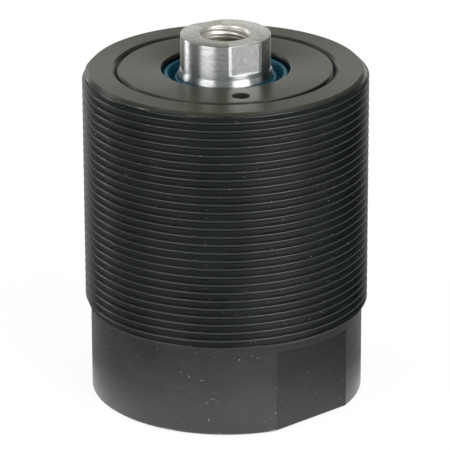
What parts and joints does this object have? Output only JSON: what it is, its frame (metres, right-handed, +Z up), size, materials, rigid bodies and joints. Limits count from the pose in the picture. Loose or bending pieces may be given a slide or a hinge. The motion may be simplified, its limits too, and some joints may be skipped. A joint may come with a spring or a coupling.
{
  "type": "threaded body hydraulic cylinder",
  "caption": "Compact double-acting hydraulic cylinder with a fine thread on its whole body, a flush gland nut, a flatted plunger end and oil ports in its base.",
  "frame": {"origin": "centre of the body's bottom face", "axes": "+Z up along the plunger, -Y to the front, the two ports on the X axis"},
  "size_m": [0.054, 0.054, 0.0707],
  "materials": {
    "black_oxide_steel": "black oxide over turned steel, oiled, satin",
    "chromed_steel": "hardened and polished steel",
    "turned_steel": "fine turned steel",
    "blue_polyurethane": "moulded polyurethane, satin",
    "seal_polyurethane": "moulded polyurethane, satin",
    "nitrile_rubber": "moulded nitrile rubber, matte",
    "guide_resin": "fabric-filled phenolic, matte",
    "white_ptfe": "filled PTFE, waxy matte"
  },
  "bodies": {
    "cylinder": {"cylinder_body": "black_oxide_steel", "gland_nut": "black_oxide_steel", "rod_wiper": "blue_polyurethane", "rod_seal": "seal_polyurethane", "rod_seal_energiser": "nitrile_rubber", "upper_rod_guide": "guide_resin", "lower_rod_guide": "guide_resin", "gland_o_ring": "nitrile_rubber", "gland_backup_ring": "white_ptfe"},
    "piston_rings": {"piston_seal": "white_ptfe", "piston_seal_energiser": "nitrile_rubber", "upper_piston_guide": "guide_resin", "lower_piston_guide": "guide_resin"},
    "plunger": {"plunger_rod": "chromed_steel", "piston": "turned_steel", "piston_static_ring": "nitrile_rubber", "piston_nut": "turned_steel"}
  },
  "joints": [
    {"name": "plunger_stroke", "type": "slide", "parent": "cylinder", "child": "piston_rings", "axis": [0, 0, 1], "range_m": [0, 0.015]},
    {"name": "plunger_turn", "type": "hinge", "parent": "piston_rings", "child": "plunger", "pos_m": [0, 0, 0], "axis": [0, 0, 1], "continuous": true}
  ]
}
